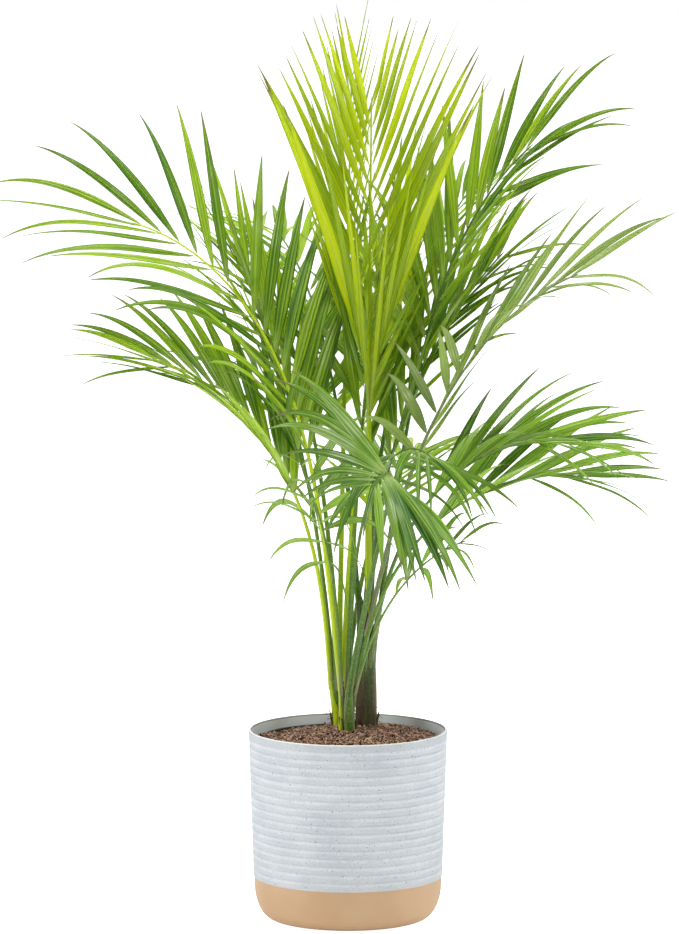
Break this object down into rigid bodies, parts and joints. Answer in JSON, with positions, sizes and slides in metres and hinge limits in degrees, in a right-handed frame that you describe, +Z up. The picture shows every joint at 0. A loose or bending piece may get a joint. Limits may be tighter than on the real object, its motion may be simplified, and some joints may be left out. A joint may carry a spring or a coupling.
{
  "type": "potted palm",
  "caption": "Three young feather palms growing together in a round ribbed planter with a plain dipped base, with arching pinnate leaves on long stalks.",
  "frame": {"origin": "centre of the flat face that the planter stands on", "axes": "+Z up, X across the plant's widest spread as seen from the front, +Y to the back"},
  "size_m": [0.878, 0.822, 1.1725],
  "materials": {
    "planter": "pale grey speckled matte glaze above a plain tan dipped base",
    "nursery_pot": "thin black moulded plastic",
    "soil": "coarse brown coir and bark potting mix",
    "stem": "green and brown fibrous leaf sheaths",
    "leaf": "satin mid-green pleated leaf",
    "young_leaf": "satin bright yellow-green young leaf",
    "leaf_underside": "dull grey-green leaf"
  },
  "bodies": {
    "root": {"planter": "planter", "nursery_pot": "nursery_pot", "potting_soil": "soil", "stem_front": "stem", "stem_rear_left": "stem", "stem_rear_right": "stem", "frond_crown": "young_leaf", "frond_right_high": "leaf", "frond_right_mid": "leaf", "frond_right_grey": "leaf_underside", "frond_right_arch": "leaf", "frond_back_right": "leaf", "frond_back": "leaf", "frond_crown_rear": "young_leaf", "frond_crown_young": "young_leaf", "frond_left_mid": "leaf", "frond_left_back": "leaf", "frond_left_upright": "leaf", "frond_back_low": "leaf", "frond_left_high": "leaf", "frond_right_fan": "leaf", "frond_right_low": "leaf", "frond_front": "leaf", "frond_front_low": "leaf", "frond_left_low": "leaf", "frond_centre_low": "leaf", "frond_centre": "leaf"}
  },
  "joints": []
}
